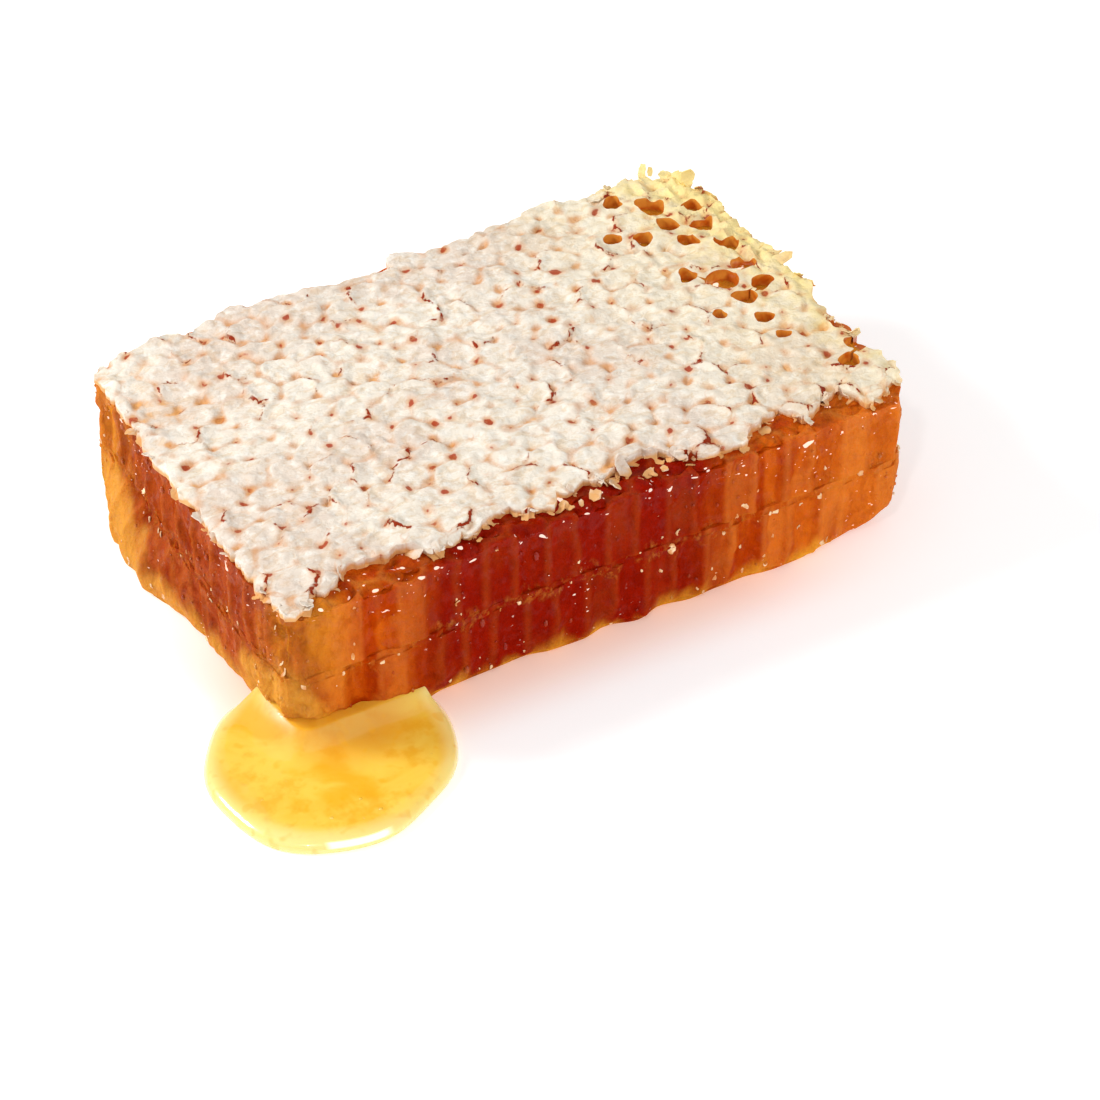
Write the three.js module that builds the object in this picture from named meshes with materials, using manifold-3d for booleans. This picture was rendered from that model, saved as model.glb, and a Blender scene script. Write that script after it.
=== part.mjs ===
// A cut block of sealed comb honey, lying flat, with the honey that has run from one corner.
//
// Two tiers of six-sided cells stand back to back on a thin wax midrib. Each tier is full of
// honey, and white wax cappings close it above and below. The four sides are knife cuts, so
// they open the cells into upright flutes. Along the front edge and in the back right corner
// the cappings are broken, and the cells under them are open.
//
// Millimetres, +Z up. The origin is the middle of the underside, +X runs along the long side,
// and the front left corner, in the pool of honey, points to -X -Y.

import * as THREE from "three";
import { mergeVertices } from "three/addons/utils/BufferGeometryUtils.js";
import Module from "manifold-3d";

const wasm = await Module();
wasm.setup();

// Driving dimensions
const cellPitch = 5.3; // across the flats of a worker cell
const rowAngle = THREE.MathUtils.degToRad(-32.2); // of a row of cells, from the long side
const oneCell = new THREE.Vector2(39.7, 19.8); // centre of one upper cell, which places the rest
const lowerCellShift = cellPitch / Math.sqrt(3); // the tiers are set off, so each base meets three
const undersideTop = 1; // top of the wax under the lower tier
const lowerTop = 11.5; // top of the lower tier
const midribTop = 12.5; // top of the midrib
const upperTop = 22.5; // top of the upper tier, where the cappings start
const cappingThickness = 1.5;
const domeHeight = 0.7; // of a capping over the walls round it
const pitDepth = 0.45; // of the corner between three cells, below the walls
const fluteDepth = 1.1; // of a cut cell, behind the walls on each side of it
const poolThickness = 1.9;
const poolRadius = 16.6;
const poolCentre = new THREE.Vector2(-45.2, -33.2);
const poolClimb = 2.2; // how much higher the pool is where it meets the comb
const seatGap = 0.3; // between the pool and the comb that stands in it
const halfLength = 48; // of the block, for measures that are taken from its middle
const halfWidth = 32;

// Plan of the knife cuts, counter-clockwise from the front left corner
const cutPlan = [
  [-46.5, -30.2], [-30, -30.8], [-18, -29.6], [2, -30.2], [22, -30.9], [44.5, -30.9],
  [47.3, -28.5], [48.3, -10], [49.2, 6], [49.4, 24], [48.2, 31], [38, 33], [24, 33.8],
  [4, 33.4], [-12, 33], [-26, 34], [-43, 32.4], [-46.8, 30], [-47.2, 18], [-48.6, 2], [-49.4, -18],
  [-48.9, -28.6],
];

// Plan of the upper cappings, which are torn back along the front
const cappingPlan = [
  [-48.6, -29.6], [-45, -28.4], [-41.5, -27.2], [-37.5, -24.8], [-33, -24.3], [-29, -26.6],
  [-21, -26.9], [-16.5, -25], [-8, -26.8], [-4, -25.2], [9.5, -24.8], [13.5, -28.4], [21, -28.6],
  [26, -25.2], [28.8, -25.4], [30.6, -28.6], [33.6, -28.2], [35.4, -25.4], [38.6, -26],
  [40, -30.2], [44.6, -29.8], [47, -27.6], [48.2, -18], [47.4, -8], [49, -3], [49.1, 12],
  [49.3, 24], [48, 31.2], [41, 33.4], [36, 32.2], [25, 34], [16, 32.4], [8, 32.4], [1.4, 34.2],
  [-0.4, 31.2], [-8, 32], [-15, 33.4], [-26, 34.2], [-31, 32], [-35, 33.4], [-42, 32], [-46.6, 30],
  [-46.9, 22], [-48.2, 7], [-49.1, -14],
];

// Cells with no capping: plan position and mouth radius
const openCells = [
  [35.6, 28.2, 1.5], [40, 24.9, 2.1], [45.4, 22.2, 1.5], [30.9, 20.7, 1.4], [34.7, 18.4, 1.5],
  [39.7, 19.8, 1.6], [44.2, 17.6, 1.6], [40, 14.9, 1.6], [44.4, 11.4, 1.7], [35, 7.2, 1.4],
  [38.8, 4, 2.2], [43.7, 6, 1.8], [39.2, -1.2, 1.7], [43.2, 0.6, 1.6], [33.9, -2.9, 1],
  [38.9, -6.5, 1.3], [38.6, -11.6, 1], [47, -12.6, 1.5], [46.2, -18.2, 1.6], [42.9, -21.3, 1.6],
];
const openCellDepth = 4.5; // below the mouth
const cappingLip = 0.35; // by which the cappings reach over an open cell
const tornCellDepth = 1.5; // of the cells along the torn front edge
const cappingRaggedness = 0.55; // of the outline of the cappings
const sideSwell = 0.4; // of the cut sides, in and out
const footHeight = 6; // over which the foot is drawn in
const frontLeftUndercut = 3.2; // at the foot, where honey has run out
const frontRightUndercut = 1.6;
const leftFlare = 4.2; // by which the back of the left side has sagged outwards at its foot

// Mesh fineness
const outlineStep = 1.5; // between points of a flute
const cappingStep = 2.2; // between points of the outline of the cappings
const tierSteps = 3; // bands up a tier
const poolSides = 44;

// Repeatable noise: a value from -1 to 1 at each whole point, blended smoothly between them
function hash(i, j, k) {
  const s = Math.sin(i * 127.1 + j * 311.7 + k * 74.7) * 43758.5453;
  return (s - Math.floor(s)) * 2 - 1;
}

function noise(x, y, z = 0) {
  const [i, j, k] = [x, y, z].map(Math.floor);
  const [u, v, w] = [x - i, y - j, z - k].map((t) => t * t * (3 - 2 * t));
  const mix = THREE.MathUtils.lerp;
  const row = (b, c) => mix(hash(i, b, c), hash(i + 1, b, c), u);
  return mix(mix(row(j, k), row(j + 1, k), v), mix(row(j, k + 1), row(j + 1, k + 1), v), w);
}

// The cell that a plan point lies in: its centre, a random value of its own, and how far the
// point is from the nearest wall and from the nearest corner
function cellAt(x, y, shift = 0) {
  const turn = (angle) => new THREE.Vector2(Math.cos(rowAngle + angle), Math.sin(rowAngle + angle));
  const across = turn(0);
  const up = turn(Math.PI / 2);
  const local = new THREE.Vector2(x, y).sub(oneCell).addScaledVector(up, -shift);
  const row = local.dot(up) / (cellPitch * Math.sin(Math.PI / 3));
  let best;
  for (const j of [Math.floor(row), Math.ceil(row)]) {
    const i = Math.round(local.dot(across) / cellPitch - j / 2);
    const centre = across.clone().multiplyScalar((i + j / 2) * cellPitch)
      .addScaledVector(up, j * cellPitch * Math.sin(Math.PI / 3));
    const off = local.clone().sub(centre);
    if (!best || off.length() < best.off.length()) best = { i, j, off, centre };
  }
  const sixths = [0, 1, 2, 3, 4, 5].map((k) => (k * Math.PI) / 3);
  const reach = Math.max(...sixths.map((angle) => best.off.dot(turn(angle))));
  const cornerReach = cellPitch / Math.sqrt(3);
  const corners = sixths.map((angle) => turn(angle + Math.PI / 6).multiplyScalar(cornerReach));
  const corner = Math.min(...corners.map((c) => c.distanceTo(best.off)));
  const centre = best.centre.add(oneCell).addScaledVector(up, shift);
  return { centre, wall: cellPitch / 2 - reach, corner, key: hash(best.i, best.j, 5) };
}

// Points along a closed plan, evenly spaced
function walk(plan, spacing) {
  const path = new THREE.Path().setFromPoints(plan.map(([x, y]) => new THREE.Vector2(x, y)));
  path.closePath();
  return path.getSpacedPoints(Math.round(path.getLength() / spacing)).slice(0, -1);
}

// The plan moved inwards where it cuts through cells, or outwards all round where it is grown.
// Each wall is an arris between two flutes.
function flutedPlan(shift, depth, grown = 0) {
  const fine = walk(cutPlan, 0.1);
  const n = fine.length;
  const wall = fine.map((p) => cellAt(p.x, p.y, shift).wall);
  const arrises = [];
  for (let k = 0; k < n; k++) {
    const lowest = wall[k] <= wall[(k + n - 1) % n] && wall[k] < wall[(k + 1) % n];
    if (lowest && (!arrises.length || k - arrises.at(-1) > 8)) arrises.push(k);
  }
  const picked = [];
  arrises.forEach((from, a) => {
    const to = a + 1 < arrises.length ? arrises[a + 1] : arrises[0] + n;
    const parts = Math.max(1, Math.round(((to - from) * 0.1) / outlineStep));
    for (let s = 0; s < parts; s++) picked.push(Math.round(from + ((to - from) * s) / parts) % n);
  });
  return picked.map((k) => {
    const along = fine[(k + 6) % n].clone().sub(fine[(k + n - 6) % n]).normalize();
    const inwards = new THREE.Vector2(-along.y, along.x);
    const open = Math.min(1, Math.max(0, wall[k]) / (cellPitch * 0.3));
    return fine[k].clone().addScaledVector(inwards, depth * Math.sqrt(open) - grown);
  });
}

// A closed mesh as a manifold solid, and back
function solidFrom(geometry) {
  const bare = geometry.index ? geometry.toNonIndexed() : geometry.clone();
  bare.deleteAttribute("normal");
  bare.deleteAttribute("uv");
  const merged = mergeVertices(bare, 1e-3);
  return new wasm.Manifold(new wasm.Mesh({
    numProp: 3,
    vertProperties: merged.attributes.position.array,
    triVerts: new Uint32Array(merged.index.array),
  }));
}

function geometryFrom(solid) {
  const { vertProperties, triVerts } = solid.getMesh();
  const geometry = new THREE.BufferGeometry();
  geometry.setAttribute("position", new THREE.BufferAttribute(vertProperties, 3));
  geometry.setIndex(new THREE.BufferAttribute(triVerts, 1));
  geometry.computeVertexNormals();
  return geometry;
}

// An outline raised from z0 to z1 in a few bands
function raised(outline, z0, z1, steps = 1) {
  const shape = new THREE.Shape(outline);
  const made = new THREE.ExtrudeGeometry(shape, { depth: z1 - z0, steps, bevelEnabled: false });
  return made.translate(0, 0, z0);
}

// Moves every vertex by a rule that depends only on where it is
function reshape(geometry, rule) {
  const position = geometry.attributes.position;
  const p = new THREE.Vector3();
  for (let k = 0; k < position.count; k++) {
    p.fromBufferAttribute(position, k);
    rule(p);
    position.setXYZ(k, p.x, p.y, p.z);
  }
  return geometry;
}

// An upright plug, to open a cell
function plug(x, y, radius, z0, z1) {
  const sides = 8;
  const made = new THREE.CylinderGeometry(radius, radius * 0.8, z1 - z0, sides);
  return solidFrom(made.rotateX(Math.PI / 2).translate(x, y, (z0 + z1) / 2));
}

const inPlan = (plan, x, y) => plan.reduce((inside, [x1, y1], k) => {
  const [x0, y0] = plan[(k + plan.length - 1) % plan.length];
  const crosses = y0 > y !== y1 > y && x < ((x1 - x0) * (y - y0)) / (y1 - y0) + x0;
  return crosses ? !inside : inside;
}, false);

// Height of the upper cappings: a dome over each cell, unevenly full, on a gently uneven block
function cappingHeight(x, y) {
  const { wall, corner, key } = cellAt(x, y);
  const fullness = 0.8 + 0.35 * key;
  const dome = domeHeight * fullness * (1 - (1 - Math.min(1, wall / (cellPitch * 0.42))) ** 2);
  const pit = pitDepth * (0.9 + 0.6 * noise(x / 4, y / 4, 4)) * Math.exp(-((corner / 0.9) ** 2));
  const sway = 0.35 * noise(x / 21 + 3, y / 21) + 0.16 * noise(x / 3.7, y / 3.7, 2);
  return upperTop + cappingThickness + dome - domeHeight / 2 - pit + sway;
}

// The cells along the front whose cappings are torn away
function tornCells() {
  const found = new Map();
  for (const p of walk(cutPlan.slice(0, 6), cellPitch / 4)) {
    const { centre } = cellAt(p.x, p.y + cellPitch * 0.45);
    const open = !inPlan(cappingPlan, centre.x, centre.y - cellPitch * 0.2);
    if (open && inPlan(cutPlan, centre.x, centre.y)) found.set(centre.x.toFixed(2), centre);
  }
  return [...found.values()];
}

// A level sheet of points, closed below by a far apex, so that only its top is fine
function sheetSolid(width, columns, depth, rows, angle, centre, heightAt) {
  const sheet = new THREE.PlaneGeometry(width, depth, columns, rows).rotateZ(angle);
  sheet.translate(centre.x, centre.y, 0);
  reshape(sheet, (p) => p.setZ(heightAt(p.x, p.y)));
  const apexHeight = -40 * width; // so far down that the sides below the sheet are nearly upright
  const position = [...sheet.attributes.position.array, centre.x, centre.y, apexHeight];
  const apex = position.length / 3 - 1;
  const index = [...sheet.index.array];
  const at = (row, column) => row * (columns + 1) + column;
  for (let k = 0; k < columns; k++) {
    index.push(at(0, k), at(0, k + 1), apex, at(rows, k + 1), at(rows, k), apex);
  }
  for (let k = 0; k < rows; k++) {
    index.push(at(k + 1, 0), at(k, 0), apex, at(k, columns), at(k + 1, columns), apex);
  }
  const closed = new THREE.BufferGeometry();
  closed.setAttribute("position", new THREE.Float32BufferAttribute(position, 3));
  closed.setIndex(index);
  return solidFrom(closed);
}

function upperCappings() {
  const cells = 24; // along the sheet, which reaches past the block all round
  const rowGap = cellPitch / (2 * Math.sqrt(3)); // puts points on every centre and wall corner
  const rows = 80;
  const centre = cellAt(0, 0).centre;
  const width = cells * cellPitch;
  const depth = rows * rowGap;
  const top = sheetSolid(width, cells * 2, depth, rows, rowAngle, centre, cappingHeight);
  const edge = walk(cappingPlan, cappingStep).map((p) => {
    const ragged = new THREE.Vector2(noise(p.x / 1.7, p.y / 1.7, 7), noise(p.x / 1.7, p.y / 1.7, 9));
    return p.clone().addScaledVector(ragged, cappingRaggedness);
  });
  let solid = top.intersect(solidFrom(raised(edge, upperTop, upperTop + 6)));
  for (const [x, y, radius] of openCells) {
    solid = solid.subtract(plug(x, y, radius, upperTop - 1, upperTop + 6));
  }
  return largestBody(solid);
}

function largestBody(solid) {
  return solid.decompose().sort((a, b) => b.volume() - a.volume())[0];
}

// Moves a point towards the middle of the block by about this much at the block's sides
function drawIn(p, inset) {
  p.x *= 1 - inset / halfLength;
  p.y *= 1 - inset / halfWidth;
}

// The cut sides swell and hollow a little from band to band
function unevenSides(p, z0, z1) {
  const share = (p.z - z0) / (z1 - z0);
  drawIn(p, sideSwell * Math.sin(Math.PI * share) * noise(p.x / 6, p.y / 6, p.z / 4));
}

function upperCells() {
  const body = raised(flutedPlan(0, fluteDepth), midribTop, upperTop, tierSteps);
  let solid = solidFrom(reshape(body, (p) => unevenSides(p, midribTop, upperTop)));
  for (const [x, y, radius] of openCells) {
    const bottom = upperTop - openCellDepth;
    solid = solid.subtract(plug(x, y, radius + cappingLip, bottom, upperTop + 1));
  }
  for (const { x, y } of tornCells()) {
    solid = solid.subtract(plug(x, y, cellPitch * 0.42, upperTop - tornCellDepth, upperTop + 1));
  }
  return largestBody(solid);
}

// The foot of the lower tier is drawn in unevenly, most of all at the two front corners, where
// honey has run out
function footInset(x, y) {
  const near = (cornerX, cornerY, reach) => {
    return Math.exp(-((Math.hypot(x - cornerX, y - cornerY) / reach) ** 2));
  };
  const uneven = 0.9 + 0.7 * noise(x / 4.5, y / 4.5, 11);
  const left = frontLeftUndercut * near(-47, -30, 12);
  const right = frontRightUndercut * near(47, -29, 9);
  return uneven + left + right - footFlare(x, y);
}

// The back of the left side has sagged outwards at its foot
function footFlare(x, y) {
  const leftness = 1 / (1 + Math.exp((x + 43) / 1.5));
  return leftFlare * leftness * Math.exp(-(((y - 15) / 11) ** 2));
}

function roundedFoot(p) {
  const low = Math.max(0, 1 - (p.z - undersideTop) / footHeight);
  const height = (p.z - undersideTop) / (lowerTop - undersideTop);
  const sag = Math.max(0, 1 - height ** 2);
  const flare = footFlare(p.x, p.y) * (sag - low ** 2);
  drawIn(p, footInset(p.x, p.y) * low ** 2 - flare);
}

function lowerTier(grown) {
  const outline = flutedPlan(lowerCellShift, fluteDepth, grown);
  return reshape(raised(outline, undersideTop, lowerTop, tierSteps), (p) => {
    unevenSides(p, undersideTop, lowerTop);
    roundedFoot(p);
  });
}

function lowerCells() {
  return solidFrom(lowerTier(0));
}

function midrib() {
  const edge = flutedPlan(lowerCellShift / 2, fluteDepth * 0.45);
  return solidFrom(raised(edge, lowerTop, midribTop));
}

// Wax under the block, a little inside the foot, flat where it rests
function underWax(grown) {
  return walk(cutPlan, 3).map((p) => {
    drawIn(p, footInset(p.x, p.y) + 1.1 - grown);
    return p;
  });
}

function lowerCappings() {
  return solidFrom(raised(underWax(0), 0, undersideTop));
}

// The pool: a thick lens with a rounded rim, which climbs where the corner stands in it
function honeyPool() {
  const rim = [
    [0, 0], [0.985, 0], [1, 0.3], [0.975, 0.75], [0.93, 0.95], [0.8, 1], [0.55, 1], [0.25, 1], [0, 1],
  ];
  const profile = rim.map(([r, h]) => new THREE.Vector2(r * poolRadius, h * poolThickness));
  const disc = new THREE.LatheGeometry(profile, poolSides).rotateX(Math.PI / 2);
  reshape(disc, (p) => {
    const angle = Math.atan2(p.y, p.x);
    const broad = 0.035 * Math.sin(2 * angle + 0.6) + 0.03 * Math.cos(3 * angle);
    const wander = 1 + broad + 0.012 * Math.sin(7 * angle);
    p.x = p.x * wander + poolCentre.x;
    p.y = p.y * wander + poolCentre.y;
    const beside = Math.max(0, -48 - p.x, -30 - p.y); // distance from the comb
    if (p.z > poolThickness * 0.9) p.z += poolClimb * Math.exp(-beside / 2.2);
  });
  const seat = reshape(lowerTier(seatGap), (p) => {
    if (p.z < undersideTop + 0.01) p.z -= seatGap;
  });
  const wax = raised(underWax(seatGap), -1, undersideTop);
  return largestBody(solidFrom(disc).subtract(solidFrom(seat)).subtract(solidFrom(wax)));
}

// Colours, as seen
const wax = { color: 0xf6e6cf, roughness: 0.75, metalness: 0 };
const amber = { color: 0xb8470f, roughness: 0.18, metalness: 0 };
const paleAmber = { color: 0xc9661c, roughness: 0.25, metalness: 0 };
const clearHoney = { color: 0xf3bd3a, roughness: 0.08, metalness: 0 };

const comb = new THREE.Group();
const pieces = [
  ["upper_cappings", upperCappings, wax],
  ["upper_cells", upperCells, amber],
  ["midrib", midrib, paleAmber],
  ["lower_cells", lowerCells, amber],
  ["lower_cappings", lowerCappings, wax],
  ["honey_pool", honeyPool, clearHoney],
];
for (const [name, make, finish] of pieces) {
  const mesh = new THREE.Mesh(geometryFrom(make()), new THREE.MeshStandardMaterial(finish));
  mesh.name = name;
  comb.add(mesh);
}

export default comb;
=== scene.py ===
# Cut comb honey: the looks of a block of sealed comb that lies in its own run honey
import math
import random

import bmesh
import bpy
import numpy as np
from mathutils import Matrix, Vector


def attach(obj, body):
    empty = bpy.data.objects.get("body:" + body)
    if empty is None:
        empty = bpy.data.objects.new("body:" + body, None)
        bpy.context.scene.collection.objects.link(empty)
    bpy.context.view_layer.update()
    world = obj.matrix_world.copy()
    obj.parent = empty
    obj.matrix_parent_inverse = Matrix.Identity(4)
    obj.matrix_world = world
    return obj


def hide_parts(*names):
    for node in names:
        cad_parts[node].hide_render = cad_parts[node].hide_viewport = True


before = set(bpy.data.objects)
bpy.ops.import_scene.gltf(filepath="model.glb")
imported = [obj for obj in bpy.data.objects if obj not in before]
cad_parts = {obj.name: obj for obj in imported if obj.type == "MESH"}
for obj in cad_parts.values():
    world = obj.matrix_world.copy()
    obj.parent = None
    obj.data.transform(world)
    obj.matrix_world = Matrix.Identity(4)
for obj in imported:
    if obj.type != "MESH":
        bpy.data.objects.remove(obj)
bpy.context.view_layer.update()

mm = 0.001

comb = {
    "pitch": 5.3,  # across the flats of a cell, mm
    "rowAngle": math.radians(-32.2),
    "oneCell": (39.7, 19.8),  # centre of one upper cell, which places the others
    "lowerShift": 5.3 / math.sqrt(3),  # the lower tier is set off by this
    "halfLength": 48.0,
    "halfWidth": 32.0,
    "cutPlan": [
        (-46.5, -30.2), (-30, -30.8), (-18, -29.6), (2, -30.2), (22, -30.9), (44.5, -30.9),
        (47.3, -28.5), (48.3, -10), (49.2, 6), (49.4, 24), (48.2, 31), (38, 33), (24, 33.8),
        (4, 33.4), (-12, 33), (-26, 34), (-43, 32.4), (-46.8, 30), (-47.2, 18), (-48.6, 2),
        (-49.4, -18), (-48.9, -28.6),
    ],
}


# Repeatable noise from -1 to 1, for arrays of points
def hashed(i, j, k):
    s = np.sin(i * 127.1 + j * 311.7 + k * 74.7) * 43758.5453
    return (s - np.floor(s)) * 2 - 1


def noise(x, y, z=0.0):
    x, y, z = np.broadcast_arrays(np.asarray(x, float), np.asarray(y, float), np.asarray(z, float))
    i, j, k = np.floor(x), np.floor(y), np.floor(z)
    u, v, w = [(t - np.floor(t)) ** 2 * (3 - 2 * (t - np.floor(t))) for t in (x, y, z)]

    def row(b, c):
        return hashed(i, b, c) * (1 - u) + hashed(i + 1, b, c) * u

    near = row(j, k) * (1 - v) + row(j + 1, k) * v
    far = row(j, k + 1) * (1 - v) + row(j + 1, k + 1) * v
    return near * (1 - w) + far * w


def roughNoise(x, y, z=0.0, octaves=3):
    return sum(noise(x * 2 ** o, y * 2 ** o, z * 2 ** o + 9 * o) / 2 ** o for o in range(octaves))


# The cell each plan point lies in: distance to its wall and corner, its centre and a random value
def cellField(x, y, shift=0.0):
    p, turn = comb["pitch"], comb["rowAngle"]
    across = np.array([math.cos(turn), math.sin(turn)])
    up = np.array([-across[1], across[0]])
    dx, dy = np.asarray(x, float) - comb["oneCell"][0], np.asarray(y, float) - comb["oneCell"][1]
    a = (dx * across[0] + dy * across[1]) / p
    b = (dx * up[0] + dy * up[1] - shift) / p
    tall = math.sqrt(3)
    options = []
    for oa, ob in ((0.0, 0.0), (0.5, tall / 2)):
        ca = np.round(a - oa) + oa
        cb = np.round((b - ob) / tall) * tall + ob
        options.append((ca, cb, (a - ca) ** 2 + (b - cb) ** 2))
    first = options[0][2] <= options[1][2]
    ca = np.where(first, options[0][0], options[1][0])
    cb = np.where(first, options[0][1], options[1][1])
    qa, qb = np.abs(a - ca), np.abs(b - cb)
    reach = np.maximum(qa, qa * 0.5 + qb * tall / 2)
    corner = np.minimum(np.hypot(qa - 0.5, qb - 0.5 / tall), np.hypot(qa, qb - 1 / tall))
    row = np.round(cb / (tall / 2))
    column = np.round(ca - row / 2)
    keys = [hashed(column, row, seed) for seed in (5.0, 6.0, 7.0, 8.0)]
    centre = (
        comb["oneCell"][0] + p * (ca * across[0] + cb * up[0]) + shift * up[0],
        comb["oneCell"][1] + p * (ca * across[1] + cb * up[1]) + shift * up[1],
    )
    return {"wall": (0.5 - reach) * p, "corner": corner * p, "keys": keys, "centre": centre}


def smoothStep(value, low, high):
    t = np.clip((value - low) / (high - low), 0, 1)
    return t * t * (3 - 2 * t)


# Points along a closed plan, evenly spaced
def walk(plan, spacing):
    corners = np.array(plan, float)
    steps = np.roll(corners, -1, axis=0) - corners
    lengths = np.hypot(steps[:, 0], steps[:, 1])
    starts = np.concatenate([[0], np.cumsum(lengths)])
    count = round(starts[-1] / spacing)
    at = np.arange(count) * starts[-1] / count
    side = np.searchsorted(starts, at, side="right") - 1
    return corners[side] + steps[side] * ((at - starts[side]) / lengths[side])[:, None]


def insidePlan(plan, x, y):
    inside = np.zeros(np.shape(x), bool)
    last = plan[-1]
    for point in plan:
        x0, y0 = last
        x1, y1 = point
        crosses = (y0 > y) != (y1 > y)
        with np.errstate(divide="ignore", invalid="ignore"):
            edge = (x1 - x0) * (y - y0) / (y1 - y0) + x0
        inside ^= crosses & (x < edge)
        last = point
    return inside


def readPoints(bm):
    return np.array([v.co for v in bm.verts], float)


def writePoints(bm, points):
    for v, point in zip(bm.verts, points):
        v.co = point


# A piece from its mesh in mm: smooth faces with sharp edges from an angle, its slot and what it replaces
def finishPiece(name, bm, material, replaced=None, sharp=60):
    bmesh.ops.scale(bm, vec=(mm, mm, mm), verts=bm.verts)
    mesh = bpy.data.meshes.new(name)
    bm.to_mesh(mesh)
    bm.free()
    mesh.polygons.foreach_set("use_smooth", [True] * len(mesh.polygons))
    mesh.set_sharp_from_angle(angle=math.radians(sharp))
    piece = bpy.data.objects.new(name, mesh)
    bpy.context.scene.collection.objects.link(piece)
    mesh.materials.append(material)
    if replaced:
        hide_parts(replaced)
    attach(piece, "root")
    print("made", name, len(mesh.polygons), "faces")
    return piece


# Points moved towards the middle of the block, by more where they lie farther out
def drawIn(points, inset):
    points[:, 0] *= 1 - inset / comb["halfLength"]
    points[:, 1] *= 1 - inset / comb["halfWidth"]


foot = {
    "height": 6.0,  # mm, of the part that is drawn in
    "undercuts": [(-47, -30, 12, 3.2), (47, -29, 9, 1.6)],  # plan place, reach and how far in
    "flare": 4.2,  # the back of the left side has sagged outwards
}


def footFlare(x, y):
    leftness = 1 / (1 + np.exp(np.clip((x + 43) / 1.5, -30, 30)))
    return foot["flare"] * leftness * np.exp(-(((y - 15) / 11) ** 2))


def footInset(x, y):
    inset = 0.9 + 0.7 * noise(x / 4.5, y / 4.5, 11) - footFlare(x, y)
    for cx, cy, reach, depth in foot["undercuts"]:
        inset = inset + depth * np.exp(-((np.hypot(x - cx, y - cy) / reach) ** 2))
    return inset


print("materials")


def newMaterial(name):
    material = bpy.data.materials.new(name)
    material.use_nodes = True
    material.cycles.emission_sampling = "NONE"  # the faint glow needn't be sampled as lamps
    tree = material.node_tree
    return material, tree, tree.nodes["Principled BSDF"]


def feed(tree, node, inputs):  # each input wired to a socket or set to a value
    for key, value in inputs.items():
        if isinstance(value, bpy.types.NodeSocket):
            tree.links.new(value, node.inputs[key])
        else:
            node.inputs[key].default_value = value


def place(tree, kind, inputs, **settings):  # one node, and its first output
    node = tree.nodes.new(kind)
    for key, value in settings.items():
        setattr(node, key, value)
    feed(tree, node, inputs)
    return node.outputs[0]


def calc(tree, operation, *values, clamp=False):
    return place(tree, "ShaderNodeMath", dict(enumerate(values)), operation=operation, use_clamp=clamp)


def plus(tree, a, b):
    return calc(tree, "ADD", a, b)


def minus(tree, a, b):
    return calc(tree, "SUBTRACT", a, b)


def times(tree, a, b):
    return calc(tree, "MULTIPLY", a, b)


def timesPlus(tree, a, b, c):  # a times b, plus c
    return calc(tree, "MULTIPLY_ADD", a, b, c)


def vector(tree, operation, *values):
    inputs = {("Scale" if operation == "SCALE" and i else i): v for i, v in enumerate(values)}
    out = place(tree, "ShaderNodeVectorMath", inputs, operation=operation)
    return out.node.outputs["Value"] if operation in ("LENGTH", "DISTANCE", "DOT_PRODUCT") else out


def blendColour(tree, factor, a, b, mode="MIX"):
    node = tree.nodes.new("ShaderNodeMix")
    node.data_type = "RGBA"
    node.blend_type = mode
    a, b = [c if isinstance(c, bpy.types.NodeSocket) else (*c, 1) for c in (a, b)]
    feed(tree, node, {0: factor, 6: a, 7: b})
    return node.outputs[2]


def grade(tree, value, low, high, start=0.0, end=1.0):  # smooth step from low to high
    return place(
        tree, "ShaderNodeMapRange", {0: value, 1: low, 2: high, 3: start, 4: end},
        interpolation_type="SMOOTHSTEP",
    )


def grain(tree, where, scale, detail=3.0, rough=0.55, distort=0.0):
    return place(
        tree, "ShaderNodeTexNoise",
        {"Vector": where, "Scale": scale, "Detail": detail, "Roughness": rough, "Distortion": distort},
    )


def bump(tree, height, strength, distance):
    return place(tree, "ShaderNodeBump", {"Height": height, "Strength": strength, "Distance": distance})


def stretched(tree, point, rise):  # below 1, a pattern is drawn out upwards
    return vector(tree, "MULTIPLY", point, (1, 1, rise))


def axes(tree, point):
    x = place(tree, "ShaderNodeSeparateXYZ", {0: point})
    return x, x.node.outputs[1], x.node.outputs[2]


def srgb(red, green, blue):
    shares = [c / 255 for c in (red, green, blue)]
    return tuple(((s + 0.055) / 1.055) ** 2.4 if s > 0.04 else s / 12.92 for s in shares)


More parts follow.
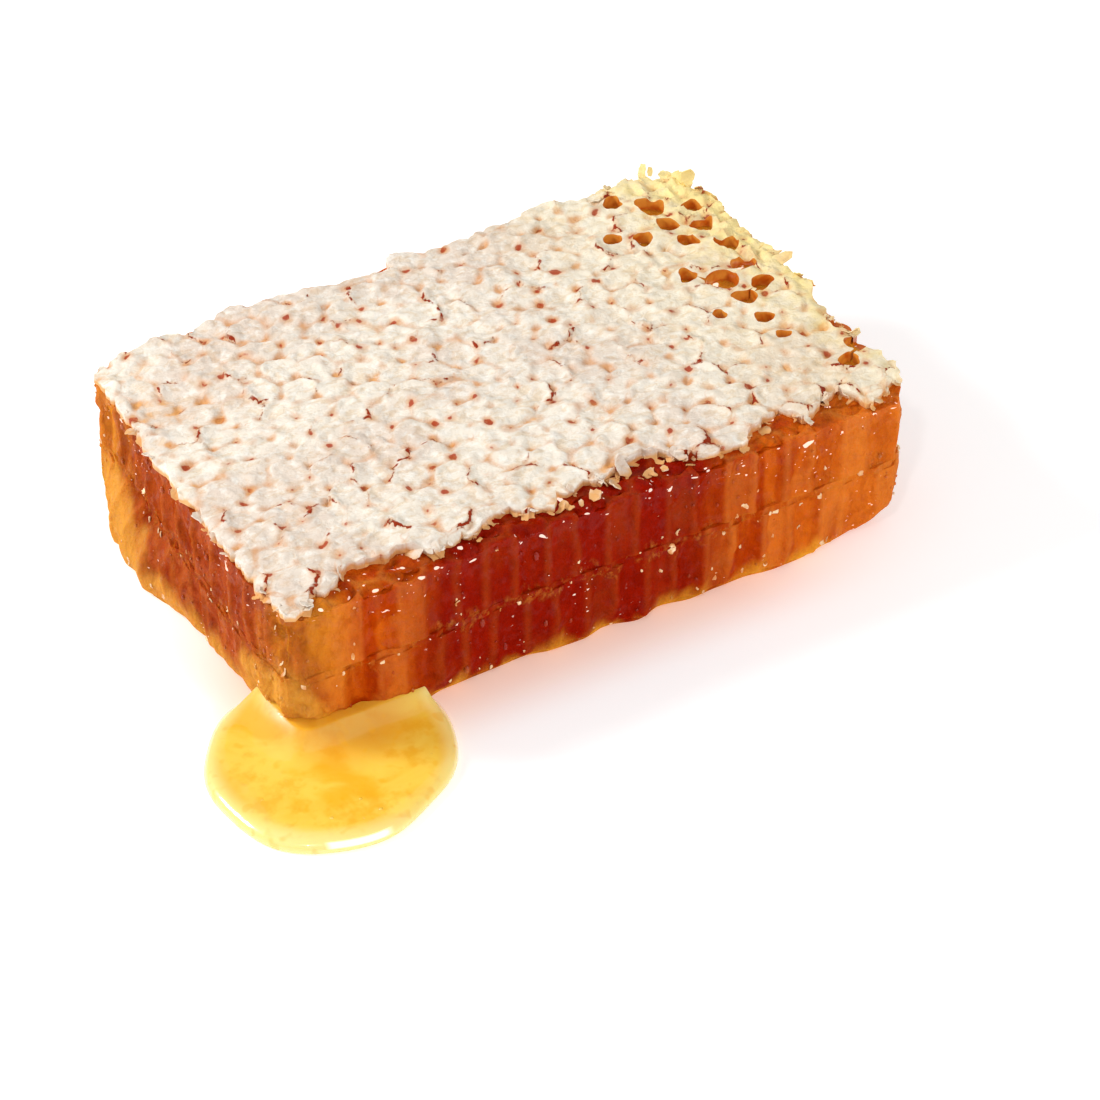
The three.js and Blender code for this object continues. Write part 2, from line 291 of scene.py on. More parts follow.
# The lattice of cells as a pattern: distance to the walls and corners in mm, and a value per cell
def makeLatticeGroup():
    group = bpy.data.node_groups.new("combLattice", "ShaderNodeTree")
    group.interface.new_socket("Plan", in_out="INPUT", socket_type="NodeSocketVector")
    group.interface.new_socket("Shift", in_out="INPUT", socket_type="NodeSocketFloat")
    for name in ("Wall", "Corner", "Random"):
        group.interface.new_socket(name, in_out="OUTPUT", socket_type="NodeSocketFloat")
    start = group.nodes.new("NodeGroupInput").outputs
    end = group.nodes.new("NodeGroupOutput").inputs
    p, turn, tall = comb["pitch"], comb["rowAngle"], math.sqrt(3)
    fromCell = vector(group, "SUBTRACT", start["Plan"], (*comb["oneCell"], 0))
    across = vector(group, "DOT_PRODUCT", fromCell, (math.cos(turn), math.sin(turn), 0))
    upward = vector(group, "DOT_PRODUCT", fromCell, (-math.sin(turn), math.cos(turn), 0))
    a = calc(group, "DIVIDE", across, p)
    b = calc(group, "DIVIDE", minus(group, upward, start["Shift"]), p)
    both = []
    for oa, ob in ((0.0, 0.0), (0.5, tall / 2)):
        la = minus(group, a, oa)
        lb = calc(group, "DIVIDE", minus(group, b, ob), tall)
        ca = calc(group, "ROUND", la)
        cb = calc(group, "ROUND", lb)
        qa = minus(group, la, ca)
        qb = times(group, minus(group, lb, cb), tall)
        size = plus(group, times(group, qa, qa), times(group, qb, qb))
        both.append((qa, qb, size, plus(group, ca, oa), plus(group, cb, ob)))
    other = calc(group, "GREATER_THAN", both[0][2], both[1][2])

    def chosen(k):
        step = minus(group, both[1][k], both[0][k])
        return timesPlus(group, step, other, both[0][k])

    qa, qb = calc(group, "ABSOLUTE", chosen(0)), calc(group, "ABSOLUTE", chosen(1))
    slant = timesPlus(group, qb, tall / 2, times(group, qa, 0.5))
    reach = calc(group, "MAXIMUM", qa, slant)
    group.links.new(times(group, minus(group, 0.5, reach), p), end["Wall"])
    q = place(group, "ShaderNodeCombineXYZ", {0: qa, 1: qb})
    corners = [vector(group, "DISTANCE", q, point) for point in ((0.5, 0.5 / tall, 0), (0, 1 / tall, 0))]
    nearest = times(group, calc(group, "MINIMUM", *corners), p)
    group.links.new(nearest, end["Corner"])
    tag = place(group, "ShaderNodeCombineXYZ", {0: chosen(3), 1: chosen(4)})
    tag = vector(group, "SNAP", vector(group, "ADD", tag, (0.1, 0.1, 0)), (0.25, 0.25, 1))
    value = place(group, "ShaderNodeTexWhiteNoise", {"Vector": tag}, noise_dimensions="3D")
    group.links.new(value, end["Random"])
    return group


latticeGroup = makeLatticeGroup()


def latticeIn(tree, plan, shift=0.0):
    node = tree.nodes.new("ShaderNodeGroup")
    node.node_tree = latticeGroup
    tree.links.new(plan, node.inputs["Plan"])
    node.inputs["Shift"].default_value = shift
    return node.outputs["Wall"], node.outputs["Corner"], node.outputs["Random"]


def objectPoint(tree):  # place on the block, in mm
    where = tree.nodes.new("ShaderNodeTexCoord").outputs["Object"]
    return vector(tree, "SCALE", where, 1000.0)


waxLook = {
    "white": srgb(247, 243, 234),
    "cream": srgb(238, 228, 212),
    "beige": srgb(222, 203, 187),
    "yellow": srgb(252, 228, 150),
    "amber": srgb(226, 164, 92),
    "tan": srgb(210, 150, 98),
    "rust": srgb(168, 52, 8),
    "crack": srgb(150, 44, 2),
    "creaseShade": (0.90, 0.80, 0.68),  # painted shade in the creases; multiplies what is under it
}


def makeWax():
    material, tree, shader = newMaterial("waxCapping")
    point = objectPoint(tree)
    plan = vector(tree, "SCALE", place(tree, "ShaderNodeUVMap", {}, uv_map="plan"), 100.0)
    x, y, z = axes(tree, point)
    lifting, hollow, _ = axes(tree, place(tree, "ShaderNodeUVMap", {}, uv_map="plate"))
    wall, corner, _ = latticeIn(tree, plan)
    fine = grain(tree, point, 0.9, 4.0)
    broad = grain(tree, point, 0.045, 2.0)
    patch = grain(tree, point, 0.35, 3.0)
    spots = grain(tree, vector(tree, "ADD", point, (31, 7, 0)), 0.3, 1.0)
    colour = blendColour(tree, grade(tree, broad, 0.42, 0.62, 0, 0.7), waxLook["cream"], waxLook["beige"])
    colour = blendColour(tree, grade(tree, patch, 0.5, 0.7, 0, 0.5), colour, waxLook["beige"])
    colour = blendColour(tree, grade(tree, fine, 0.48, 0.68, 0, 0.6), colour, waxLook["white"])
    creases = grain(tree, vector(tree, "MULTIPLY", point, (0.6, 1, 1)), 0.9, 6.0, 0.62, 0.3)
    shade = grade(tree, creases, 0.52, 0.36, 0, 0.8)  # painted warm shade in the creases
    colour = blendColour(tree, shade, colour, waxLook["creaseShade"], "MULTIPLY")
    low = grade(tree, hollow, 0.10, 0.8, 0, 0.85)
    low = times(tree, low, grade(tree, fine, 0.3, 0.6, 0.4, 1))
    colour = blendColour(tree, low, colour, waxLook["tan"])
    edgeward = timesPlus(tree, y, 0.2, x)
    edgeward = timesPlus(tree, patch, 18.0, edgeward)  # yellow towards the right end
    colour = blendColour(tree, grade(tree, edgeward, 46.0, 62.0, 0, 0.9), colour, waxLook["yellow"])
    colour = blendColour(tree, grade(tree, edgeward, 20.0, 50.0, 0, 0.2), colour, waxLook["yellow"])
    pitSize = timesPlus(tree, spots, 3.4, -1.62)  # mm, often below zero
    reach = minus(tree, timesPlus(tree, fine, 0.9, pitSize), corner)
    colour = blendColour(tree, grade(tree, reach, -0.6, 0.5, 0, 0.5), colour, waxLook["tan"])
    colour = blendColour(tree, grade(tree, reach, 0.42, 0.72, 0, 0.9), colour, waxLook["rust"])
    wander = timesPlus(tree, grain(tree, point, 0.7, 2.0), 1.4, -0.95)
    gap = calc(tree, "ABSOLUTE", plus(tree, wall, wander))
    width = timesPlus(tree, fine, 1.0, timesPlus(tree, lifting, 0.45, -0.78))
    torn = timesPlus(tree, patch, 1.6, timesPlus(tree, fine, 0.8, -1.2))  # amber under the torn rim
    stained = grade(tree, minus(tree, z, torn), 23.7, 22.9, 0, 0.9)
    colour = blendColour(tree, stained, colour, waxLook["amber"])
    frontness = grade(tree, y, -17.0, -27.0)  # more cracks by the front
    broken = grain(tree, vector(tree, "ADD", point, (3, 57, 0)), 0.5, 2.0)
    pieces = grade(tree, timesPlus(tree, frontness, 0.12, broken), 0.42, 0.54)
    width = minus(tree, timesPlus(tree, frontness, 0.10, width), gap)
    cracked = times(tree, grade(tree, width, -0.03, 0.05), pieces)
    beside = times(tree, grade(tree, width, -0.45, 0.05, 0, 0.5), pieces)
    colour = blendColour(tree, beside, colour, waxLook["tan"])
    colour = blendColour(tree, cracked, colour, waxLook["crack"])
    height = timesPlus(tree, cracked, -0.5, creases)
    height = timesPlus(tree, patch, 1.0, height)
    height = plus(tree, height, grade(tree, wall, 0.0, 1.8, 0, 0.7))
    feed(tree, shader, {
        "Base Color": colour, "Roughness": 0.58, "Specular IOR Level": 0.18,
        "Normal": bump(tree, height, 0.6, 0.0007),
    })
    return material


honeyLook = {
    "dark": srgb(142, 18, 0),
    "amber": srgb(174, 58, 2),
    "orange": srgb(206, 96, 16),
    "pale": srgb(222, 122, 34),
    "gold": srgb(206, 128, 36),
    "golden": srgb(236, 172, 50),
    "shadedGolden": srgb(214, 148, 58),
    "shadedMilky": srgb(176, 78, 36),
    "wax": srgb(216, 126, 50),
    # sparkle is the colour of painted glints
    "sparkle": (0.95, 0.85, 0.72),
    "leftShade": (0.48, 0.35, 0.28),  # these three multiply what is under them: leftShade is painted shade on the left side, cellShade darkens cells at random and threadShade along thin threads
    "cellShade": (0.84, 0.72, 0.6),
    "threadShade": (0.62, 0.42, 0.3),
}


# Honey behind cut cell walls: dark in the middle of the front, partly deeper honey and partly painted
# shade, amber at the ends, golden at the foot
def makeHoney(name, shift, wetness=0.0):
    material, tree, shader = newMaterial(name)
    point = objectPoint(tree)
    x, y, z = axes(tree, point)
    wall, _, cell = latticeIn(tree, point, shift)
    cloud = grain(tree, stretched(tree, point, 0.5), 0.14, 2.0, 0.5, 0.3)
    streak = grain(tree, stretched(tree, point, 0.12), 0.32, 2.0)
    crumbs = grain(tree, stretched(tree, point, 0.7), 1.1, 4.0, 0.6)
    middle = grade(tree, calc(tree, "ABSOLUTE", plus(tree, x, 6.5)), 32.0, 14.0)  # of the dark zone, partly deeper honey and partly painted shade
    front = grade(tree, y, 0.0, -24.0, 0.2, 1.0)
    depth = times(tree, middle, front)
    depth = plus(tree, depth, timesPlus(tree, cloud, 1.0, -0.5))
    depth = calc(tree, "ADD", depth, timesPlus(tree, streak, 0.7, -0.35), clamp=True)
    colour = blendColour(tree, grade(tree, streak, 0.35, 0.65), honeyLook["amber"], honeyLook["orange"])
    colour = blendColour(tree, grade(tree, x, 24.0, 42.0, 0, 0.6), colour, honeyLook["pale"])
    colour = blendColour(tree, grade(tree, depth, 0.0, 1.0), colour, honeyLook["dark"])
    shaded = grade(tree, timesPlus(tree, y, -0.20, x), -36.5, -40.5)  # the left side, darkened as painted shade
    colour = blendColour(tree, shaded, colour, honeyLook["leftShade"], "MULTIPLY")
    unshaded = minus(tree, 1.0, times(tree, shaded, 0.6))
    # milky patches on the left side only, in a colour darkened for its painted shade
    shadedMilky = grain(tree, stretched(tree, point, 0.8), 0.3, 3.0, 0.6, 0.8)
    shadedMilky = times(tree, grade(tree, shadedMilky, 0.42, 0.62, 0.1, 0.55), shaded)
    colour = blendColour(tree, shadedMilky, colour, honeyLook["shadedMilky"])
    tone = times(tree, grade(tree, cell, 0.1, 0.9, 0, 0.45), unshaded)
    colour = blendColour(tree, tone, colour, honeyLook["cellShade"], "MULTIPLY")
    flat = vector(tree, "MULTIPLY", point, (1, 1, 0))
    fromCorner = timesPlus(tree, cloud, 7.0, vector(tree, "DISTANCE", flat, (-46.5, -27.5, 0)))
    patchy = grade(tree, streak, 0.36, 0.58, 0.45, 1.0)  # gold at both left corners
    goldHere = times(tree, grade(tree, fromCorner, 11.0, 6.0, 0, 0.75), patchy)
    colour = blendColour(tree, goldHere, colour, honeyLook["gold"])
    backLeft = timesPlus(tree, cloud, 12.0, minus(tree, y, x))
    goldHere = times(tree, grade(tree, backLeft, 70.0, 78.0, 0, 0.75), patchy)
    colour = blendColour(tree, goldHere, colour, honeyLook["gold"])
    low = timesPlus(tree, cloud, 14.0, timesPlus(tree, streak, 3.0, z))  # golden foot
    cornerward = timesPlus(tree, y, -0.6, times(tree, x, -1.0))
    low = minus(tree, low, grade(tree, cornerward, 56.0, 66.0, 0, 8.0))
    low = minus(tree, low, grade(tree, x, -44.0, -48.0, 0, 2.5))
    farLeft = times(tree, grade(tree, x, -44.0, -47.0), grade(tree, y, 0.0, 22.0, 0, 6.0))
    low = minus(tree, timesPlus(tree, shaded, -1.5, low), farLeft)
    # the golden foot takes a darker copy in the painted shade of the left side
    golden = blendColour(tree, shaded, honeyLook["golden"], honeyLook["shadedGolden"])
    colour = blendColour(tree, grade(tree, low, 11.5, 6.5, 0, 0.8), colour, golden)
    ribs = times(tree, grade(tree, wall, 0.9, 0.0), grade(tree, depth, 0.8, 0.2, 0.08, 0.34))
    ribs = times(tree, ribs, unshaded)
    zigzag = timesPlus(tree, wall, 1.0, timesPlus(tree, cloud, 5.0, -3.6))  # the midrib at the cut
    fromRib = calc(tree, "ABSOLUTE", minus(tree, minus(tree, z, 11.9), zigzag))
    rib = times(tree, grade(tree, fromRib, 1.8, 0.2), grade(tree, crumbs, 0.44, 0.70, 0.0, 0.42))
    ribs = calc(tree, "MAXIMUM", ribs, rib)
    threads = grain(tree, stretched(tree, point, 0.55), 0.9, 3.0, 0.55, 0.6)
    darker = times(tree, grade(tree, threads, 0.35, 0.62, 0.4, 0.0), unshaded)
    colour = blendColour(tree, darker, colour, honeyLook["threadShade"], "MULTIPLY")
    colour = blendColour(tree, ribs, colour, honeyLook["wax"])
    mouths = times(tree, grade(tree, z, 21.7, 21.9), grade(tree, x, 20.0, 32.0, 0, 0.6))
    mouths = times(tree, mouths, grade(tree, y, -23.5, -21.5))
    mouths = times(tree, mouths, grade(tree, x, 47.4, 46.6))  # honey in the open cells
    colour = blendColour(tree, mouths, colour, honeyLook["golden"])
    speck = grain(tree, stretched(tree, point, 1.6), 1.25, 2.0, 0.4)
    speck = grade(tree, speck, 0.70, 0.735)  # small painted glints
    cluster = grade(tree, plus(tree, cloud, grade(tree, z, 15.0, 21.5, 0, 0.14)), 0.54, 0.64)
    # painted glow: the honey gives off a little of its own colour, with the painted glints mixed in
    glow = vector(tree, "SCALE", colour, 0.12)
    shine = grain(tree, stretched(tree, point, 2.2), 0.42, 1.0, 0.3)  # broad painted glints under the cappings
    shine = times(tree, grade(tree, shine, 0.72, 0.735), grade(tree, z, 19.5, 21.0))
    speck = calc(tree, "MAXIMUM", times(tree, speck, cluster), shine)
    glow = blendColour(tree, speck, glow, honeyLook["sparkle"])
    wet = grain(tree, point, 0.75, 3.0, 0.6)
    ledge = grade(tree, z, 17.5, 21.5, 0, 0.12)
    wet = grade(tree, plus(tree, wet, ledge), 0.5, 0.66, 0.04, 0.2)
    height = timesPlus(tree, ribs, 0.4, crumbs)
    feed(tree, shader, {
        "Base Color": colour, "Emission Color": glow, "Emission Strength": 1.0,
        "Roughness": 0.4, "Specular IOR Level": 0.0,
        "Subsurface Weight": 0.3, "Subsurface Radius": (2.0, 0.8, 0.15), "Subsurface Scale": 0.001,
        "Coat Weight": calc(tree, "MAXIMUM", wet, wetness), "Coat Roughness": 0.05,
        "Normal": bump(tree, height, 0.9, 0.0009),
    })
    return material


poolLook = {
    "yellow": srgb(246, 212, 84),
    "deepYellow": srgb(240, 188, 44),
    "amber": srgb(234, 176, 34),
    "border": srgb(250, 226, 140),
    "byComb": srgb(222, 146, 20),
    "specks": srgb(240, 176, 10),
    # streak is the colour of a painted reflection on the front rim
    "streak": (0.9, 0.86, 0.75),
}


def makeRunHoney():
    material, tree, shader = newMaterial("runHoney")
    point = objectPoint(tree)
    cloud = grain(tree, point, 0.12, 3.0, 0.5, 0.6)
    specks = grain(tree, point, 0.45, 1.0)
    flat = vector(tree, "MULTIPLY", point, (1, 1, 0))
    fromMiddle = vector(tree, "DISTANCE", flat, (-45.2, -33.2, 0))  # the pool's centre
    mottle = grain(tree, point, 0.3, 3.0, 0.6)
    rim = grade(tree, timesPlus(tree, cloud, 2.0, fromMiddle), 14.5, 17.5)
    deep = grade(tree, vector(tree, "DISTANCE", flat, (-41.0, -28.0, 0)), 12.0, 5.0, 0, 0.6)
    colour = blendColour(tree, grade(tree, cloud, 0.38, 0.62), poolLook["yellow"], poolLook["deepYellow"])
    colour = blendColour(tree, grade(tree, mottle, 0.5, 0.7, 0, 0.6), colour, poolLook["amber"])
    colour = blendColour(tree, rim, colour, poolLook["border"])
    colour = blendColour(tree, deep, colour, poolLook["byComb"])
    colour = blendColour(tree, grade(tree, specks, 0.60, 0.74, 0, 0.4), colour, poolLook["specks"])
    x, y, z = axes(tree, point)  # for the painted white reflection along the front rim
    streak = times(tree, grade(tree, z, 0.75, 0.95), grade(tree, z, 1.6, 1.4))
    streak = times(tree, streak, grade(tree, x, -54.0, -53.0))
    streak = times(tree, streak, grade(tree, x, -44.5, -46.5))
    streak = times(tree, streak, grade(tree, y, -43.0, -45.0))
    # painted glow of the pool's own colour, with the painted rim reflection
    glow = blendColour(tree, streak, vector(tree, "SCALE", colour, 0.12), poolLook["streak"])
    feed(tree, shader, {
        "Base Color": colour, "Emission Color": glow, "Emission Strength": 1.0,
        "Roughness": 0.25, "IOR": 1.49, "Transmission Weight": 0.15,
        "Subsurface Weight": 0.3, "Subsurface Radius": (3.0, 1.8, 0.5), "Subsurface Scale": 0.001,
        "Coat Weight": 1.0, "Coat Roughness": 0.02,
    })
    return material


def makeCrumbWax(name, pale, deep):
    material, tree, shader = newMaterial(name)
    point = objectPoint(tree)
    patch = grain(tree, point, 0.5, 2.0)
    colour = blendColour(tree, grade(tree, patch, 0.4, 0.65), pale, deep)
    feed(tree, shader, {
        "Base Color": colour, "Roughness": 0.35, "Coat Weight": 0.4, "Coat Roughness": 0.08,
    })
    return material


wax = makeWax()
crumbWax = makeCrumbWax("crumbWax", srgb(244, 212, 164), srgb(218, 140, 66))
cellWax = makeCrumbWax("cellWax", srgb(224, 148, 54), srgb(196, 96, 16))
upperHoney = makeHoney("upperHoney", 0.0)
lowerHoney = makeHoney("lowerHoney", comb["lowerShift"])
wetHoney = makeHoney("wetHoney", 0.0, 0.7)
runHoney = makeRunHoney()


cappings = {
    "bottom": 22.5,
    "thickness": 1.5,
    "step": 0.38,  # of the mesh, mm
    "edgeSpacing": 0.3,
    "raggedness": 0.6,
    "skirt": [(0.10, 0.04), (0.45, 0.02), (None, -0.06)],  # drop and swell of each ring under the rim
    "plan": [
        (-48.6, -29.6), (-45, -28.4), (-41.5, -27.2), (-37.5, -24.8), (-33, -24.3), (-29, -26.6),
        (-21, -26.9), (-16.5, -25), (-8, -26.8), (-4, -25.2), (9.5, -24.8), (13.5, -28.4),
        (21, -28.6), (26, -25.2), (28.8, -25.4), (30.6, -28.6), (33.6, -28.2), (35.4, -25.4),
        (38.6, -26), (40, -30.2), (44.6, -29.8), (47, -27.6), (48.2, -18), (47.4, -8), (49, -3),
        (49.1, 12), (49.3, 24), (48, 31.2), (41, 33.4), (36, 32.2), (25, 34), (16, 32.4),
        (8, 32.4), (1.4, 34.2), (-0.4, 31.2), (-8, 32), (-15, 33.4), (-26, 34.2), (-31, 32),
        (-35, 33.4), (-42, 32), (-46.6, 30), (-46.9, 22), (-48.2, 7), (-49.1, -14),
    ],
    "openCells": [  # plan place and mouth radius
        (35.6, 28.2, 1.5), (40, 24.9, 2.1), (45.4, 22.2, 1.5), (30.9, 20.7, 1.4), (34.7, 18.4, 1.5),
        (39.7, 19.8, 1.6), (44.2, 17.6, 1.6), (40, 14.9, 1.6), (44.4, 11.4, 1.7), (35, 7.2, 1.4),
        (38.8, 4, 2.2), (43.7, 6, 1.8), (39.2, -1.2, 1.7), (43.2, 0.6, 1.6), (33.9, -2.9, 1),
        (38.9, -6.5, 1.3), (38.6, -11.6, 1), (47, -12.6, 1.5), (46.2, -18.2, 1.6), (42.9, -21.3, 1.6),
    ],
}


# Plates of wax over the cells, fused along some walls, each full and tilted in its own way
def cappingHeight(x, y):
    field = cellField(x, y)
    full, tiltA, tiltB, lifted = field["keys"]
    wall = field["wall"]
    dx, dy = x - field["centre"][0], y - field["centre"][1]
    plate = smoothStep(wall, 0.0, 1.0)
    grooves = np.clip(0.22 + 1.4 * noise(x / 3.4, y / 2.2, 51), 0, 1)
    dome = 1 - ((0.75 * dx) ** 2 + dy ** 2) / 12
    height = 0.28 * (1 + 0.7 * full) * (1 - 0.6 * grooves * (1 - plate)) * dome
    height += 0.12 * grooves * (plate - 1)
    height += 0.28 * noise(x / 4.0, y / 2.1, 57) + 0.25 * noise(x / 1.4, y / 0.9, 58)
    raisedSide = smoothStep((tiltA * dx + tiltB * dy) / np.hypot(tiltA, tiltB) / 2.6, 0.3, 0.8)
    lifting = raisedSide * smoothStep(lifted, -0.3, 0.4)
    height += 0.30 * lifting * smoothStep(wall, 0.02, 0.36)
    pits = np.clip(0.25 + 1.1 * noise(x / 2.4, y / 2.4, 53), 0, 1.2)
    pit = pits * np.exp(-((field["corner"] / 0.7) ** 2))
    height -= 0.42 * pit
    hollow = np.clip(pit + 0.5 * (1 - plate) * grooves, 0, 1)
    height += 0.35 * noise(x / 21 + 3, y / 21) + 0.12 * noise(x / 6, y / 6, 2)
    broken = smoothStep(x + 0.2 * y + 3 * noise(x / 5, y / 5, 97), 45, 50)
    height += broken * (0.45 * roughNoise(x / 1.1, y / 1.1, 95) - 0.35 * plate)
    return cappings["bottom"] + cappings["thickness"] - 0.08 + height, lifting, hollow


# The torn edge of the cappings, with bites out of its front
def raggedLine():
    size = cappings["raggedness"]
    line = walk(cappings["plan"], cappings["edgeSpacing"])
    x, y = line[:, 0], line[:, 1]
    coarse = np.stack([noise(x / 1.7, y / 1.7, 7), noise(x / 1.7, y / 1.7, 9)], axis=1)
    fine = np.stack([noise(x / 0.6, y / 0.6, 7), noise(x / 0.6, y / 0.6, 9)], axis=1)
    torn = smoothStep(y, -20, -24) * np.maximum(0, noise(x / 1.9, 5, 93)) ** 0.7
    return line + size * coarse + 0.8 * size * fine + np.stack([0 * torn, 1.6 * torn - 0.5], axis=1)


# Distance from each point to a closed line, and the nearest place on it
def nearestOn(line, x, y):
    best = np.full(x.shape, 1e9)
    place2d = np.zeros((len(x), 2))
    for a, b in zip(line, np.roll(line, -1, axis=0)):
        d = b - a
        t = np.clip(((x - a[0]) * d[0] + (y - a[1]) * d[1]) / max(d @ d, 1e-12), 0, 1)
        px, py = a[0] + t * d[0], a[1] + t * d[1]
        gap = np.hypot(x - px, y - py)
        closer = gap < best
        best = np.where(closer, gap, best)
        place2d[closer] = np.stack([px, py], axis=1)[closer]
    return best, place2d


# The uneven mouth of an open cell
def openRing(cx, cy, radius):
    angle = np.arange(36) * math.tau / 36
    r = radius * (1 + 0.10 * np.cos(2 * angle + cx) + 0.09 * np.cos(3 * angle + cy))
    r += 0.12 * noise(2 * np.cos(angle) + cx, 2 * np.sin(angle) + cy, 3)
    return np.stack([cx + r * np.cos(angle), cy + r * np.sin(angle)], axis=1)


# The cappings: a grid cut to the torn edge and the mouths, with a skirt and a flat underside
def makeCappings():
    c = cappings
    half = (52.0, 36.0)
    counts = [int(2 * h / c["step"]) for h in half]
    bm = bmesh.new()
    bmesh.ops.create_grid(bm, x_segments=counts[0], y_segments=counts[1], size=1)
    bmesh.ops.scale(bm, vec=(*half, 1), verts=bm.verts)
    points = readPoints(bm)
    x, y = points[:, 0], points[:, 1]
    outline = raggedLine()
    rings = [openRing(*cell) for cell in c["openCells"]]
    keep = insidePlan([tuple(q) for q in outline], x, y)
    for ring in rings:
        near = np.flatnonzero(keep & (np.hypot(x - ring[:, 0].mean(), y - ring[:, 1].mean()) < 5))
        keep[near[insidePlan([tuple(q) for q in ring], x[near], y[near])]] = False
    bm.verts.ensure_lookup_table()
    bmesh.ops.delete(bm, geom=[bm.verts[int(k)] for k in np.flatnonzero(~keep)], context="VERTS")
    slivers = [v for v in bm.verts if len(v.link_faces) < 2]
    bmesh.ops.delete(bm, geom=slivers, context="VERTS")
    bm.verts.index_update()
    points = readPoints(bm)
    edge = np.array([v.index for v in bm.verts if v.is_boundary])
    x, y = points[edge, 0], points[edge, 1]
    best, snapped = nearestOn(outline, x, y)
    for ring in rings:
        gap, onRing = nearestOn(ring, x, y)
        snapped[gap < best] = onRing[gap < best]
        best = np.minimum(best, gap)
    outward = snapped - points[edge, :2]
    outward /= np.maximum(np.hypot(outward[:, 0], outward[:, 1]), 1e-9)[:, None]
    points[edge, :2] = snapped
    x, y = points[:, 0], points[:, 1]
    warpX = x + 0.7 * noise(x / 6, y / 6, 21) + 0.45 * noise(x / 2.1, y / 2.1, 23)
    warpY = y + 0.7 * noise(x / 6, y / 6, 22) + 0.45 * noise(x / 2.1, y / 2.1, 24)
    height, lifting, hollow = cappingHeight(warpX, warpY)
    z = height + 0.05 * roughNoise(x / 1.1, y / 1.1, 31)
    toEdge, _ = nearestOn(walk(c["plan"], 2.0), x, y)
    z -= 0.30 * np.exp(-((toEdge / 0.6) ** 2))
    for cx, cy, radius in c["openCells"]:
        z += 0.12 * np.exp(-(((np.hypot(x - cx, y - cy) - radius - 0.35) / 0.35) ** 2))
    points[:, 2] = z
    writePoints(bm, points)
    layers = [bm.loops.layers.uv.new(name) for name in ("plan", "plate")]
    values = [np.stack([warpX, warpY], axis=1) / 100, np.stack([lifting, hollow], axis=1)]
    for face in bm.faces:
        for loop in face.loops:
            for layer, value in zip(layers, values):
                loop[layer].uv = value[loop.vert.index]
    away = {int(k): Vector((*direction, 0)) for k, direction in zip(edge, outward)}
    ring = [e for e in bm.edges if e.is_boundary]
    directions = {v: away.get(v.index, Vector((0, 0, 0))) for e in ring for v in e.verts}
    topFaces = list(bm.faces)
    for drop, swell in c["skirt"]:
        old = {v.co.copy().freeze(): d for v, d in directions.items()}
        made = bmesh.ops.extrude_edge_only(bm, edges=ring)["geom"]
        fresh = [g for g in made if isinstance(g, bmesh.types.BMVert)]
        ring = [g for g in made if isinstance(g, bmesh.types.BMEdge)]
        directions = {v: old[v.co.copy().freeze()] for v in fresh}
        for v, direction in directions.items():
            v.co += direction * swell
            v.co.z = c["bottom"] + 0.02 if drop is None else v.co.z - drop
    for face in set(bm.faces) - set(topFaces):
        middle = face.calc_center_median()
        inMouth = [math.hypot(middle.x - cx, middle.y - cy) < r + 0.7 for cx, cy, r in c["openCells"]]
        face.material_index = int(any(inMouth))
    made = bmesh.ops.duplicate(bm, geom=topFaces)["geom"]
    for v in [g for g in made if isinstance(g, bmesh.types.BMVert)]:
        v.co.z = c["bottom"] + 0.02
    bmesh.ops.remove_doubles(bm, verts=[v for v in bm.verts if v.is_boundary], dist=0.001)
    bmesh.ops.recalc_face_normals(bm, faces=bm.faces)
    piece = finishPiece("waxCappings", bm, wax, "upper_cappings", sharp=42)
    piece.data.materials.append(cellWax)
    return piece


tiers = {
    "undersideTop": 1.0,
    "lowerTop": 11.5,
    "midribTop": 12.5,
    "upperTop": 22.5,
    "fluteDepth": 1.0,
    "step": 0.36,  # of the rings, mm
    "spacing": 0.4,  # along the cut, mm
    "openDepth": 4.5,
    "sideOpenDepth": 0.6,  # of open cells that would break through the cut side
}


# The cut sides: a plan line drawn in as rounded flutes between the cell walls, which wander with height
def fluted(line, inwards, z, shift, depth):
    wanderX = 0.2 * noise(line[:, 0] / 5, line[:, 1] / 5, z / 4 + 71)
    wanderY = 0.2 * noise(line[:, 0] / 5, line[:, 1] / 5, z / 4 + 73)
    field = cellField(line[:, 0] + wanderX, line[:, 1] + wanderY, shift)
    opened = smoothStep(field["wall"], -0.5, 1.7)
    deep = depth * (0.72 + 0.28 * field["keys"][0])
    return line + inwards * (deep * opened)[:, None]


def tierSpan(upper):  # bottom, top and shift of its lattice
    if upper:
        return tiers["midribTop"], tiers["upperTop"], 0.0
    return tiers["undersideTop"], tiers["lowerTop"], comb["lowerShift"]


def sideLine():  # points along the cut and the way inwards at each
    line = walk(comb["cutPlan"], tiers["spacing"])
    reach = round(0.6 / tiers["spacing"])
    along = np.roll(line, -reach, axis=0) - np.roll(line, reach, axis=0)
    along /= np.hypot(along[:, 0], along[:, 1])[:, None]
    return line, np.stack([-along[:, 1], along[:, 0]], axis=1)


